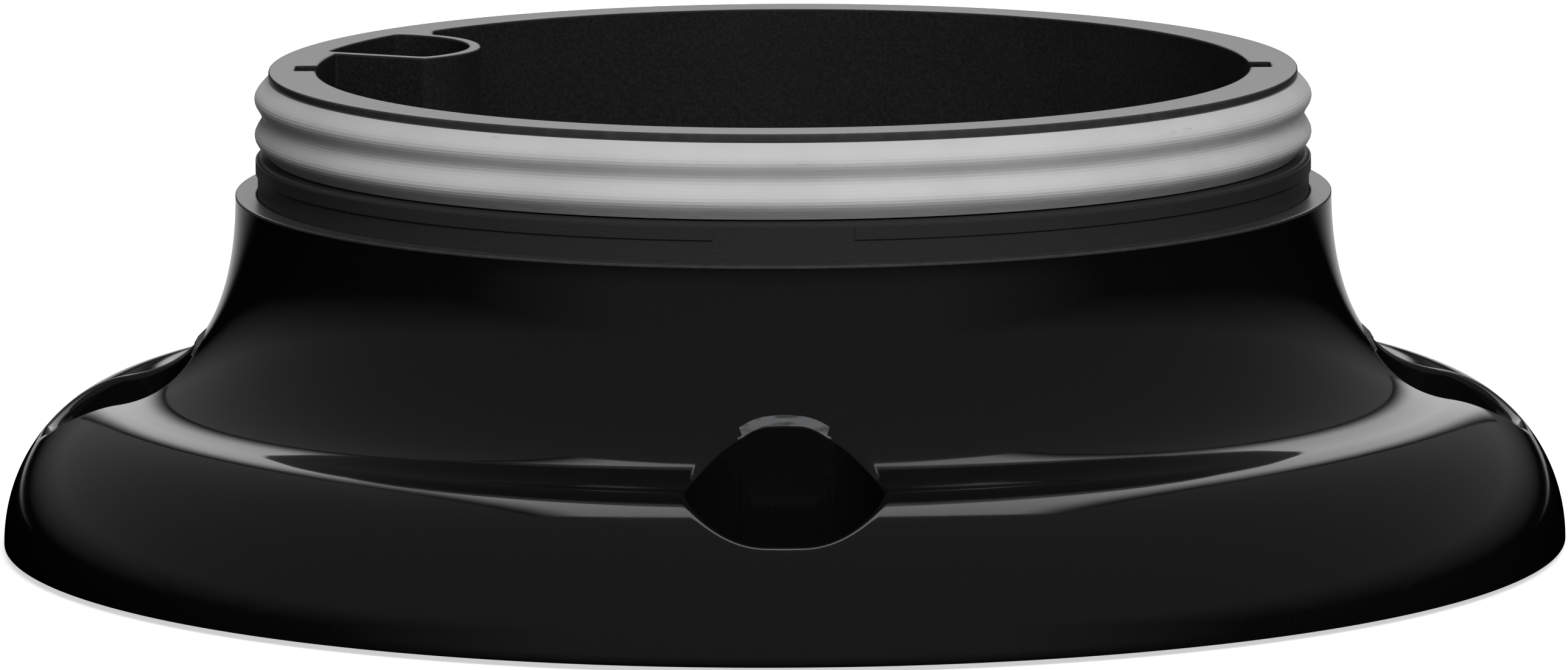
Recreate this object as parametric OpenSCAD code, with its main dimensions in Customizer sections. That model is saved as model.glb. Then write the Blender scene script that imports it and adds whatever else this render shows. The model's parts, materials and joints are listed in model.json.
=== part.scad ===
// Kitchen garbage disposal: low-profile base unit with a flared shroud and a ribbed neck seal.
// Millimetres. +Z is up, -Y is the front, and the origin is under the middle of the feet.

/* [Overall] */
// Outer diameter of the flared shroud at its lower rim
flange_d = 230; // [228:1:236]
// Height of the shroud, from its lower rim to the ledge round the neck
shroud_h = 51.5; // [51:0.5:53]
// Height of the neck above the ledge
neck_h = 18.1; // [18:0.1:19]
// Gap between the shroud's lower rim and the surface that the feet stand on
foot_stand = 0.8; // [0.5:0.1:1]
// Wall thickness of the shroud
shell_t = 2.2; // [2:0.1:2.3]

/* [Neck] */
// Diameter of the band that the hopper tube slides over
band_d = 154.4; // [154:0.1:154.5]
// Diameter of the top rim, above the seal
rim_d = 151; // [150:0.1:152]
// Diameter of the feed throat
throat_d = 137; // [136:0.5:138]
// Height of the plain band between the ledge and the seal
band_h = 5.6; // [5:0.1:6]
// How far the upper and lower lobes of the seal stand out from its valley
lobe_h = 1.1; // [0.8:0.1:1.2]

/* [Wells] */
// Radius of the circle that the four wells stand on
well_pitch_r = 97.5; // [97:0.5:98]
// Radius of the rounded end of a well
well_r = 12.2; // [11.8:0.1:12.4]
// Half of the straight part between the rounded ends
well_straight = 2.1; // [1.5:0.1:2.5]

/* [Grinding chamber] */
// Diameter of the turntable
turntable_d = 92; // [90:0.5:92]
// Inner diameter of the grind ring
grind_bore_d = 93; // [93:0.1:94]
// Number of windows round the grind ring
window_count = 24; // [18:1:28]
// Distance of each swivel lug's pin from the shaft
lug_pitch_r = 31; // [30:0.5:31]

/* [Motor] */
// Diameter of the shaft
shaft_d = 8; // [8:1:8]
// Number of stator teeth
tooth_count = 9; // [6:3:9]
// Number of rotor magnets
magnet_count = 12; // [8:2:12]

/* [Drain] */
// Bore of the drain spigot
drain_bore_d = 30; // [28:1:31]
// Distance of the spigot from the shaft
drain_pitch_r = 62; // [61:0.5:63]

/* [Controls] */
// Travel of the interlock rod
interlock_travel = 3; // [2:0.5:3]
// Travel of the reset button
reset_travel = 1.5; // [1:0.5:2]

/* [Hidden] */
$fn = 96;

// Heights above the surface that the feet stand on
ledge_z = foot_stand + shroud_h;
rim_z = ledge_z + neck_h;
band_top_z = ledge_z + band_h;
lip_h = 1.3;
seal_low_z = band_top_z + 0.3;
seal_high_z = rim_z - lip_h;
plate_low_z = 2.6;
plate_t = 2;
plate_z = plate_low_z + plate_t;
deck_low_z = 22.4;
deck_t = 3;
deck_z = deck_low_z + deck_t;
gasket_t = 0.8;
collar_low_z = deck_z + gasket_t;
ring_top_z = 38;
shoulder_z = ledge_z - 3;
disc_low_z = 29.4;
disc_top_z = 32;

// Radii
flange_r = flange_d / 2;
ledge_r = 80.5;
band_r = band_d / 2;
rim_r = rim_d / 2;
throat_r = throat_d / 2;
groove_r = 73.6;
gutter_r = 70.5;
collar_wall_r = 74;
collar_foot_r = 77.6;
ring_in_r = grind_bore_d / 2;
ring_out_r = ring_in_r + 3;
shaft_r = shaft_d / 2;
plate_r = flange_r - shell_t - 0.5;
deck_r = 80;
hub_r = 13.2;
bearing_r = 11;

// Places round the unit, in degrees from +X
well_angles = [0, 90, 180, 270];
foot_angles = [45, 135, 225, 315];
foot_pitch_r = 94;
collar_screw_angles = [48, 120, 192, 264, 336];
collar_screw_r = 74;
pillar_angles = [8, 96, 172, 242];
pillar_pitch_r = 74;
drain_angle = 300;
drain_ear = 21;
rod_angle = 152;
rod_pitch_r = 60.5;
reset_angle = 68;
reset_pitch_r = 62;
terminal_angle = 40;
gland_angle = 52;
gland_z = 12;
board_angle = 208;

// Bearings, stator and rotor
bearing_z = [12.3, 20.9];
bearing_h = 7;
ball_pitch_r = 7.6;
ball_r = 1.85;
balls_per_bearing = 7;
stator_r = 38.2;
stator_low_z = 10;
stator_h = 10;
tooth_w = 5;
cup_r = 43;
cup_low_z = 5.4;

// Switch, breaker, board and leads
switch_top_z = 16.5;
breaker_top_z = 18.6;
breaker_space_z = 12.5 + reset_travel;
board_screw_places = [[191, 73], [228, 73], [208, 53.5]];
board_low_z = 8;
board_t = 1.6;
board_z = board_low_z + board_t;
lead_r = 0.9;
lead_z = board_z + 1;
terminal_r = 68;

// The duct beside the throat that takes the hopper's interlock tab
duct_x = -61.8;
duct_y = 25.3;
duct_r = 16.9;
duct_wall = 1.75;
duct_floor_z = 42;
rod_head_z = duct_floor_z + 5 + interlock_travel;
duct_corner_x = -52.4;
duct_side_x = -55.7;
duct_side_y = 12.3;
duct_side_angle = -25.3;

// Outline of the shroud: two cubic curves that meet at the crest of the flange
crest_slope = 8.5;
waist = [[ledge_r, ledge_z], [ledge_r, ledge_z - 15.2], [flange_r - 29.6, foot_stand + 23.9],
         [flange_r - 16.6, foot_stand + 22]];
flare = [[flange_r - 16.6, foot_stand + 22], [flange_r - 8, foot_stand + 22 - 8.6 * sin(crest_slope)],
         [flange_r, foot_stand + 11.9], [flange_r, foot_stand]];
curve_steps = 12;

function bezier(p, t) = pow(1 - t, 3) * p[0] + 3 * pow(1 - t, 2) * t * p[1]
    + 3 * (1 - t) * t * t * p[2] + pow(t, 3) * p[3];
function tangent(p, t) = 3 * pow(1 - t, 2) * (p[1] - p[0]) + 6 * (1 - t) * t * (p[2] - p[1])
    + 3 * t * t * (p[3] - p[2]);
function inward(v) = [v[1], -v[0]] / norm(v);
function shifted(p, t, by) = bezier(p, t) + by * inward(tangent(p, t));
function curve(p, by, first = 0) = [for (i = [first:curve_steps]) shifted(p, i / curve_steps, by)];

// Moves its children to a place on a circle round the shaft, turned to face outwards
module around(angle, r = 0, z = 0) {
    rotate([0, 0, angle]) translate([r, 0, z]) children();
}

// Ring with a rectangular section
module ring(r_in, r_out, z_low, z_high) {
    difference() {
        translate([0, 0, z_low]) cylinder(r = r_out, h = z_high - z_low);
        translate([0, 0, z_low - 1]) cylinder(r = r_in, h = z_high - z_low + 2);
    }
}

// Upright post with an oblong section, wide across the radius
module oblong(r, z_low, z_high) {
    translate([0, 0, z_low]) linear_extrude(z_high - z_low) union() {
        for (side = [-1, 1]) translate([0, side * well_straight]) circle(r = r);
        square([2 * r, 2 * well_straight], center = true);
    }
}

// Pan-head screw that stands on z with its head upwards
module screw(head_r, head_h, shank_r, length, z) {
    translate([0, 0, z]) cylinder(r = head_r, h = head_h);
    translate([0, 0, z - length]) cylinder(r = shank_r, h = length);
}

// Wire that runs along an arc round the shaft
module wire_arc(r, wire_r, z, from, to) {
    rotate([0, 0, from]) rotate_extrude(angle = to - from) translate([r, z]) circle(r = wire_r, $fn = 24);
}

// Straight wire that runs outwards from one radius to another
module wire_radial(r_low, r_high, wire_r, z, angle) {
    around(angle, r_low, z) rotate([0, 90, 0]) cylinder(r = wire_r, h = r_high - r_low, $fn = 24);
}

// Compression spring that stands on z, as a stack of closed rings joined by a thin rail
module spring(r, wire_r, z_low, z_high, coils) {
    step = (z_high - z_low - 2 * wire_r) / (coils - 1);
    for (i = [0:coils - 1]) translate([0, 0, z_low + wire_r + i * step])
        rotate_extrude($fn = 48) translate([r, 0]) circle(r = wire_r, $fn = 16);
    translate([r, 0, z_low + wire_r]) cylinder(r = wire_r * 0.8, h = z_high - z_low - 2 * wire_r, $fn = 16);
}

module shroud_outside() {
    rotate_extrude($fn = 180) polygon(concat([[0, ledge_z]], curve(waist, 0), curve(flare, 0, 1),
        [[0, foot_stand]]));
}

module flared_shroud() color("#17171a") {
    difference() {
        union() {
            rotate_extrude($fn = 180) polygon(concat(
                curve(waist, 0), curve(flare, 0, 1), [[flange_r - shell_t, foot_stand]],
                [for (i = [curve_steps - 1:-1:1]) shifted(flare, i / curve_steps, shell_t)],
                [for (i = [curve_steps:-1:2]) shifted(waist, i / curve_steps, shell_t)],
                [[ledge_r - shell_t, shoulder_z], [band_r + 0.1, shoulder_z], [band_r + 0.1, ledge_z]]));
            intersection() {
                for (angle = well_angles) around(angle, well_pitch_r) oblong(well_r + 1.8, plate_z, 40);
                shroud_outside();
            }
        }
        for (angle = well_angles) {
            around(angle, well_pitch_r) oblong(well_r, plate_z + 2.2, 60);
            around(angle, well_pitch_r) cylinder(r = 1.95, h = 20);
        }
        around(gland_angle, 98, gland_z) rotate([0, 90, 0]) cylinder(r = 6.4, h = 30);
    }
}

// The region on the throat's side of the duct's slanting wall, set back by a distance
module duct_side(back) {
    translate([duct_side_x, duct_side_y, 0]) rotate([0, 0, duct_side_angle])
        translate([-60, back, 0]) cube([120, 80, 100]);
}

module duct_body() {
    intersection() {
        translate([0, 0, duct_floor_z - 2]) cylinder(r = gutter_r + 0.5, h = rim_z - duct_floor_z + 2);
        union() {
            intersection() {
                translate([duct_x, duct_y, 0]) cylinder(r = duct_r, h = 100);
                duct_side(0);
            }
            translate([-60, 38, 0]) cube([duct_corner_x + 60, 10, 100]);
        }
    }
}

module duct_space() {
    intersection() {
        translate([0, 0, duct_floor_z]) cylinder(r = 70.3, h = 60);
        translate([duct_x, duct_y, 0]) cylinder(r = duct_r - duct_wall, h = 100);
        duct_side(duct_wall);
    }
}

module neck_collar() color("#1d1d1f") {
    difference() {
        union() {
            rotate_extrude($fn = 180) polygon([
                [gutter_r, collar_low_z], [collar_foot_r, collar_low_z], [collar_foot_r, collar_low_z + 4],
                [collar_wall_r, collar_low_z + 4], [collar_wall_r, shoulder_z - 7],
                [ledge_r - shell_t - 0.3, shoulder_z - 3.3], [ledge_r - shell_t - 0.3, shoulder_z],
                [band_r, shoulder_z], [band_r, band_top_z - 0.8], [band_r - 0.25, band_top_z - 0.25],
                [band_r - 0.8, band_top_z], [groove_r, band_top_z], [groove_r, seal_high_z],
                [rim_r, seal_high_z], [rim_r, rim_z - 0.4], [rim_r - 0.4, rim_z],
                [throat_r + 0.5, rim_z], [throat_r, rim_z - 0.5], [throat_r, shoulder_z],
                [gutter_r, shoulder_z]]);
            duct_body();
            around(rod_angle, rod_pitch_r, collar_low_z) cylinder(r = 4.5, h = duct_floor_z - collar_low_z);
            for (angle = collar_screw_angles) around(angle, collar_screw_r, collar_low_z + 2)
                cylinder(r = 3.1, h = 13);
            band_strips();
        }
        duct_space();
        around(rod_angle, rod_pitch_r) cylinder(r = 2.55, h = 60);
        for (angle = collar_screw_angles) around(angle, collar_screw_r, 20) cylinder(r = 1.75, h = 18);
        for (angle = [0, 180]) around(angle, 60, rim_z - 12) translate([0, -3, 0]) cube([11.6, 6, 20]);
    }
}

// Thin raised strips round the band, which leave a plain gap at the front
module band_strips() {
    rotate([0, 0, -82.5]) rotate_extrude(angle = 345, $fn = 180) translate([band_r - 1, band_top_z - 2.5])
        square([1.3, 2]);
}

module ribbed_seal() color("#c9c9c6") {
    valley_r = 76.5;
    height = seal_high_z - seal_low_z;
    rotate_extrude($fn = 180) polygon(concat([[groove_r, seal_high_z], [groove_r, seal_low_z]],
        [for (i = [0:24]) [valley_r - 0.9 * pow(abs(i - 12) / 12, 6) + lobe_h * (1 - cos(30 * i)) / 2,
            seal_low_z + height * i / 24]]));
}

module feed_funnel() color("#b9bcc0") {
    difference() {
        rotate_extrude() polygon([
            [ring_in_r + 0.3, ring_top_z], [ring_out_r + 2.5, ring_top_z], [gutter_r - 0.2, shoulder_z - 2.4],
            [gutter_r - 0.2, shoulder_z], [throat_r + 0.3, shoulder_z], [throat_r + 0.3, shoulder_z - 1.4],
            [ring_out_r + 2.1, ring_top_z + 1.5], [ring_in_r + 0.3, ring_top_z + 1.5]]);
        translate([duct_x, duct_y, ring_top_z + 1.5]) cylinder(r = duct_r + 0.3, h = 20);
        translate([duct_x, 37.5, ring_top_z + 1.5]) cube([duct_corner_x - duct_x + 0.3, 12, 20]);
    }
}

module grind_ring() color("#8f9296") {
    difference() {
        ring(ring_in_r, ring_out_r, deck_z, ring_top_z);
        for (i = [0:window_count - 1]) around(i * 360 / window_count) {
            translate([ring_in_r - 2, -2.5, deck_z + 1.8]) cube([8, 5, 4.2]);
            translate([ring_in_r, 0, deck_z + 6.4]) cylinder(r = 1.3, h = 10, $fn = 24);
        }
    }
}

module drain_opening() {
    intersection() {
        around(drain_angle, drain_pitch_r, deck_low_z - 1) cylinder(r = drain_bore_d / 2 - 1.5, h = deck_t + 2);
        ring(ring_out_r + 2, gutter_r - 0.7, deck_low_z - 1, deck_z + 1);
    }
}

module deck_plate() color("#a9abad") {
    difference() {
        union() {
            translate([0, 0, deck_low_z]) cylinder(r = deck_r, h = deck_t);
            translate([0, 0, 8.4]) cylinder(r = hub_r, h = 19.8);
            ring(ring_out_r + 0.1, ring_out_r + 1.6, deck_z - 1, deck_z + 1.4);
        }
        translate([0, 0, 8]) cylinder(r = bearing_r, h = 7.8);
        translate([0, 0, 10]) cylinder(r = 9.4, h = 10);
        translate([0, 0, 17.4]) cylinder(r = bearing_r, h = 20);
        drain_opening();
        around(rod_angle, rod_pitch_r, deck_low_z - 1) cylinder(r = 2.7, h = 10);
        for (angle = collar_screw_angles) around(angle, collar_screw_r, 20) cylinder(r = 1.75, h = 10);
        for (angle = pillar_angles) around(angle, pillar_pitch_r, 20) cylinder(r = 2, h = 10);
        for (side = [-1, 1]) around(drain_angle, drain_pitch_r, 20) translate([0, side * drain_ear, 0])
            cylinder(r = 1.5, h = 10);
    }
}

module deck_gasket() color("#3a3a3a") {
    difference() {
        ring(gutter_r - 0.5, collar_foot_r, deck_z, deck_z + gasket_t);
        for (angle = collar_screw_angles) around(angle, collar_screw_r, 20) cylinder(r = 1.75, h = 10);
        for (angle = pillar_angles) around(angle, pillar_pitch_r, 20) cylinder(r = 2.2, h = 10);
    }
}

module deck_grommets() color("#2b2b2b") {
    for (angle = pillar_angles) around(angle, pillar_pitch_r) ring(2, 5, deck_low_z - 1.5, deck_low_z);
}

module shaft_seal() color("#6b2f22") {
    ring(5.4, bearing_r - 0.02, 24.6, 28);
    ring(shaft_r + 0.06, 6, 26.6, 27.6);
}

module bearing_ring(r_in, r_out) {
    for (z = bearing_z) rotate_extrude() difference() {
        translate([r_in, z - bearing_h / 2]) square([r_out - r_in, bearing_h]);
        translate([ball_pitch_r, z]) circle(r = ball_r + 0.05, $fn = 48);
    }
}

module bearing_outer_rings() color("#c4c7cb") {
    bearing_ring(8.9, bearing_r - 0.01);
}

module bearing_inner_rings() color("#c4c7cb") {
    bearing_ring(shaft_r, 6.3);
}

module bearing_balls() color("#dfe2e6") {
    for (z = bearing_z, i = [0:balls_per_bearing - 1])
        around(i * 360 / balls_per_bearing, ball_pitch_r, z) sphere(r = ball_r, $fn = 32);
}

module bearing_cages() color("#b08d4a") {
    for (z = bearing_z) difference() {
        ring(6.9, 8.3, z - 0.7, z + 2.9);
        for (i = [0:balls_per_bearing - 1]) around(i * 360 / balls_per_bearing, ball_pitch_r, z)
            sphere(r = ball_r + 0.02, $fn = 32);
    }
}

// Outline of the space between two stator teeth: a wedge with parallel-sided teeth on both sides
module winding_slot(pitch) {
    apex = tooth_w / 2 / sin(pitch / 2);
    far = stator_r + 10;
    half = (far - apex) * tan(pitch / 2);
    translate([stator_r - 8, -2.5]) square([20, 5]);
    intersection() {
        difference() {
            circle(r = stator_r - 2.2);
            circle(r = 18);
        }
        polygon([[apex, 0], [far, half], [far, -half]]);
    }
}

module stator_core() color("#70757a") {
    pitch = 360 / tooth_count;
    translate([0, 0, stator_low_z]) linear_extrude(stator_h) difference() {
        circle(r = stator_r);
        circle(r = hub_r);
        for (i = [0:tooth_count - 1]) rotate((i + 0.5) * pitch) winding_slot(pitch);
    }
}

module stator_windings() color("#b8662d") {
    for (i = [0:tooth_count - 1]) rotate([0, 0, i * 360 / tooth_count]) difference() {
        translate([21.5, -6, stator_low_z - 1.8]) cube([13, 12, stator_h + 3.6]);
        translate([20, -tooth_w / 2, stator_low_z]) cube([16, tooth_w, stator_h]);
    }
}

module rotor_shaft() color("#d0d3d7") {
    translate([0, 0, 5.4]) cylinder(r = shaft_r, h = 31.6);
}

module rotor_cup() color("#8a8e93") {
    difference() {
        translate([0, 0, cup_low_z]) cylinder(r = cup_r, h = 15.2);
        translate([0, 0, cup_low_z + 2]) ring(8, cup_r - 1.6, 0, 20);
        translate([0, 0, 8.5]) cylinder(r = 20, h = 20);
        translate([0, 0, 0]) cylinder(r = shaft_r, h = 20);
        for (i = [0:5]) around(i * 60, 25, 0) cylinder(r = 6, h = 8);
    }
}

module rotor_magnets() color("#55585c") {
    for (i = [0:magnet_count - 1]) rotate([0, 0, i * 360 / magnet_count])
        rotate_extrude(angle = 360 / magnet_count - 3) translate([stator_r + 0.7, 8.5])
            square([cup_r - 1.6 - stator_r - 0.7, 11.5]);
}

module turntable() color("#c2c5c8") {
    disc_r = turntable_d / 2;
    difference() {
        union() {
            translate([0, 0, disc_low_z]) cylinder(r = disc_r, h = disc_top_z - disc_low_z);
            translate([0, 0, disc_low_z - 0.8]) cylinder(r = 9, h = 2);
            ring(disc_r - 1.6, disc_r, disc_low_z - 1.6, disc_low_z + 1);
        }
        translate([0, 0, 20]) cylinder(r = shaft_r, h = 20);
        for (side = [0, 180]) around(side, lug_pitch_r, 20) cylinder(r = 2.5, h = 20);
        for (i = [0:11]) around(15 + i * 30, i % 2 == 0 ? 22 : 39, 20) cylinder(r = 1.6, h = 20, $fn = 32);
    }
}

module hub_washer() color("#d2d5d8") {
    ring(shaft_r, 10, disc_top_z, disc_top_z + 1.5);
}

module hub_nut() color("#c8cbcf") {
    nut_z = disc_top_z + 1.5;
    difference() {
        union() {
            translate([0, 0, nut_z]) cylinder(r = 7.5, h = 3.2, $fn = 6);
            intersection() {
                translate([0, 0, nut_z + 0.3]) sphere(r = 6.2, $fn = 48);
                translate([0, 0, nut_z]) cylinder(r = 6.2, h = 10);
            }
        }
        translate([0, 0, 20]) cylinder(r = shaft_r, h = 17);
    }
}

module lug_pins() color("#dcdee0") {
    for (side = [0, 180]) around(side, lug_pitch_r) {
        translate([0, 0, disc_low_z]) cylinder(r = 2.5, h = 5.6);
        translate([0, 0, disc_top_z + 2.8]) cylinder(r = 4, h = 1.4);
    }
}

// Swivelling hammer: a flat arm on its pin with a tall striking block at the outer end
module swivel_lug(side) {
    low_z = disc_top_z + 0.3;
    around(side, lug_pitch_r) difference() {
        union() {
            translate([0, 0, low_z]) cylinder(r = 5.5, h = 2.2);
            translate([0, -4, low_z]) cube([9, 8, 2.2]);
            intersection() {
                translate([5.2, -4.5, low_z]) cube([8, 9, 5.4]);
                translate([0, 0, low_z]) cylinder(r = 12.6, h = 5.4);
            }
        }
        translate([0, 0, 20]) cylinder(r = 2.55, h = 30);
    }
}

module swivel_lug_1() color("#a7abb0") {
    swivel_lug(0);
}

module swivel_lug_2() color("#a7abb0") {
    swivel_lug(180);
}

module base_plate() color("#26282b") {
    difference() {
        union() {
            translate([0, 0, plate_low_z]) cylinder(r = plate_r, h = plate_t, $fn = 180);
            for (angle = pillar_angles) around(angle, pillar_pitch_r, plate_low_z)
                cylinder(r = 5.2, h = deck_low_z - 1.5 - plate_low_z);
            for (place = board_screw_places) around(place[0], place[1], plate_low_z) cylinder(r = 2.8, h = 5.4);
        }
        for (angle = pillar_angles) around(angle, pillar_pitch_r) {
            cylinder(r = 4.1, h = 6);
            cylinder(r = 2, h = 30);
        }
        for (place = board_screw_places) around(place[0], place[1], 3) cylinder(r = 1.2, h = 10);
        for (angle = well_angles) around(angle, well_pitch_r) cylinder(r = 1.9, h = 10);
        for (angle = foot_angles) around(angle, foot_pitch_r) cylinder(r = 2.5, h = 10);
        around(drain_angle, drain_pitch_r) cylinder(r = drain_bore_d / 2 + 4, h = 10);
        around(reset_angle, reset_pitch_r) cylinder(r = 3.6, h = 10);
        for (i = [0:5], r = [20, 27, 34]) rotate([0, 0, i * 60 + 8]) rotate_extrude(angle = 44)
            translate([r, 0]) square([2.4, 10]);
    }
}

module rubber_feet() color("#1b1b1b") {
    for (angle = foot_angles) around(angle, foot_pitch_r) {
        cylinder(r = 8, h = plate_low_z);
        cylinder(r = 2.5, h = plate_z);
        translate([0, 0, plate_z]) cylinder(r = 3.6, h = 1.6);
    }
}

module case_screws() color("#b7babd") {
    for (angle = well_angles) around(angle, well_pitch_r) screw(4, 2.4, 1.9, 4.2, plate_z + 2.2);
}

module collar_screws() color("#b7babd") {
    for (angle = collar_screw_angles) around(angle, collar_screw_r) mirror([0, 0, 1])
        screw(3.4, 2.2, 1.75, 15, -deck_low_z);
}

module pillar_screws() color("#b7babd") {
    for (angle = pillar_angles) around(angle, pillar_pitch_r) mirror([0, 0, 1])
        screw(3.8, 2.6, 2, deck_z - 6, -6);
}

module drain_outline(z_low, z_high) {
    around(drain_angle, drain_pitch_r, z_low) {
        cylinder(r = drain_bore_d / 2 + 3, h = z_high - z_low);
        for (side = [-1, 1]) translate([0, side * drain_ear, 0]) cylinder(r = 4, h = z_high - z_low);
        translate([-4, -drain_ear, 0]) cube([8, 2 * drain_ear, z_high - z_low]);
    }
}

module drain_holes(bore_r) {
    around(drain_angle, drain_pitch_r) {
        cylinder(r = bore_r, h = 40);
        for (side = [-1, 1]) translate([0, side * drain_ear, 0]) cylinder(r = 1.5, h = 40);
    }
}

module drain_spigot() color("#2a2c2f") {
    difference() {
        union() {
            drain_outline(deck_low_z - gasket_t - 2.4, deck_low_z - gasket_t);
            around(drain_angle, drain_pitch_r, 1.4) cylinder(r = drain_bore_d / 2 + 2, h = 20);
        }
        drain_holes(drain_bore_d / 2);
    }
}

module drain_gasket() color("#3a3a3a") {
    difference() {
        drain_outline(deck_low_z - gasket_t, deck_low_z);
        drain_holes(drain_bore_d / 2 + 0.5);
    }
}

module drain_screws() color("#b7babd") {
    for (side = [-1, 1]) around(drain_angle, drain_pitch_r) translate([0, side * drain_ear, 0])
        mirror([0, 0, 1]) screw(2.8, 1.8, 1.5, 6, -(deck_low_z - gasket_t - 2.4));
}

module interlock_switch() color("#1f2a44") {
    around(rod_angle, rod_pitch_r) difference() {
        translate([-4.5, -10, plate_z]) cube([9, 20, switch_top_z - plate_z]);
        translate([0, 0, 10]) cylinder(r = 1.85, h = 20);
    }
}

module switch_plunger() color("#c23b2e") {
    around(rod_angle, rod_pitch_r, 13.4) cylinder(r = 1.8, h = 6.6);
}

module interlock_rod() color("#d7d2c4") {
    around(rod_angle, rod_pitch_r) {
        translate([0, 0, 20.3]) cylinder(r = 2.5, h = rod_head_z - 20.3);
        translate([0, 0, rod_head_z]) cylinder(r = 4.6, h = 1.6);
        intersection() {
            translate([0, 0, rod_head_z - 4]) sphere(r = 7.4, $fn = 48);
            translate([0, 0, rod_head_z + 1]) cylinder(r = 4, h = 8);
        }
    }
}

module interlock_spring() color("#cfd2d5") {
    around(rod_angle, rod_pitch_r) spring(3.6, 0.45, duct_floor_z, rod_head_z, 6);
}

module reset_breaker() color("#303438") {
    around(reset_angle, reset_pitch_r) difference() {
        translate([-7, -8, plate_z]) cube([14, 16, breaker_top_z - plate_z]);
        translate([0, 0, plate_z - 1]) cylinder(r = 3.2, h = 4);
        translate([0, 0, 6]) cylinder(r = 4.8, h = breaker_space_z - 6);
    }
}

module reset_button() color("#c22a22") {
    around(reset_angle, reset_pitch_r) {
        translate([0, 0, 1.4]) cylinder(r = 3, h = 6);
        translate([0, 0, 6.3]) cylinder(r = 4.4, h = 1.3);
    }
}

module reset_spring() color("#cfd2d5") {
    around(reset_angle, reset_pitch_r) spring(3.2, 0.4, 7.6, breaker_space_z, 5);
}

module control_board() color("#1f6b3a") {
    difference() {
        rotate([0, 0, 183]) rotate_extrude(angle = 51) translate([50, board_low_z]) square([27, board_t]);
        for (place = board_screw_places) around(place[0], place[1]) cylinder(r = 1.5, h = 20);
    }
}

module board_capacitors() color("#2b3d63") {
    for (angle = [199, 219]) around(angle, 70, board_z) cylinder(r = 5, h = 11);
}

module power_transistors() color("#202124") {
    for (i = [-1.5:1.5]) around(board_angle, 58, board_z) translate([-1.2, 4.8 * i - 2, 0]) cube([2.4, 4, 7]);
}

module heat_sink() color("#b4b8bc") {
    around(board_angle, 60.4, board_z) {
        translate([-1.2, -9.5, 0]) cube([1.8, 19, 9]);
        for (i = [0:5]) translate([0.6, -9.5 + i * 3.56, 0]) cube([3.2, 1.2, 9]);
    }
}

module board_screws() color("#b7babd") {
    for (place = board_screw_places) around(place[0], place[1]) screw(2.4, 1.4, 1.2, 5, board_z);
}

module terminal_block() color("#d8d4c6") {
    around(terminal_angle, terminal_r) difference() {
        translate([-5, -11, plate_z]) cube([10, 22, 11]);
        for (i = [-1:1]) translate([0, i * 7, plate_z + 5]) cylinder(r = 2.2, h = 10, $fn = 32);
    }
}

module cord_gland() color("#1a1a1a") {
    around(gland_angle, 0, gland_z) rotate([0, 90, 0]) difference() {
        union() {
            translate([0, 0, 101]) cylinder(r = 6.35, h = 12.2);
            translate([0, 0, 99.6]) cylinder(r = 7.1, h = 2);
        }
        translate([0, 0, 90]) cylinder(r = 3.5, h = 40);
    }
}

module supply_leads() color("#7a2e2a") {
    for (run = [[80.3, 42, 185], [82.2, 38, 187]]) {
        wire_arc(run[0], lead_r, lead_z, run[1] - 0.6, run[2] + 0.6);
        wire_radial(terminal_r + 5, run[0], lead_r - 0.1, lead_z, run[1]);
        wire_radial(75, run[0], lead_r - 0.1, lead_z, run[2]);
    }
}

module motor_leads() color("#c9b43a") {
    for (angle = [196, 200, 204]) {
        wire_radial(34.7, 52.4, 0.6, 21.6, angle);
        around(angle, 52, board_z) cylinder(r = 0.5, h = 21.6 - board_z, $fn = 24);
    }
}

module switch_leads() color("#3b5fa0") {
    for (r = [62.8, 64.8]) wire_arc(r, 0.8, board_z + 0.9, rod_angle + 9.2, 190);
}

flared_shroud();
neck_collar();
ribbed_seal();
feed_funnel();
grind_ring();
deck_plate();
deck_gasket();
deck_grommets();
shaft_seal();
bearing_outer_rings();
bearing_balls();
bearing_cages();
bearing_inner_rings();
stator_core();
stator_windings();
base_plate();
rubber_feet();
case_screws();
collar_screws();
pillar_screws();
drain_spigot();
drain_gasket();
drain_screws();
interlock_switch();
switch_plunger();
interlock_rod();
interlock_spring();
reset_breaker();
reset_button();
reset_spring();
control_board();
board_capacitors();
power_transistors();
heat_sink();
board_screws();
terminal_block();
cord_gland();
supply_leads();
motor_leads();
switch_leads();
rotor_shaft();
rotor_cup();
rotor_magnets();
turntable();
hub_washer();
hub_nut();
lug_pins();
swivel_lug_1();
swivel_lug_2();
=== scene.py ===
"""Looks of the kitchen garbage disposal's base unit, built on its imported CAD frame."""
import json
import math

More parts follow.
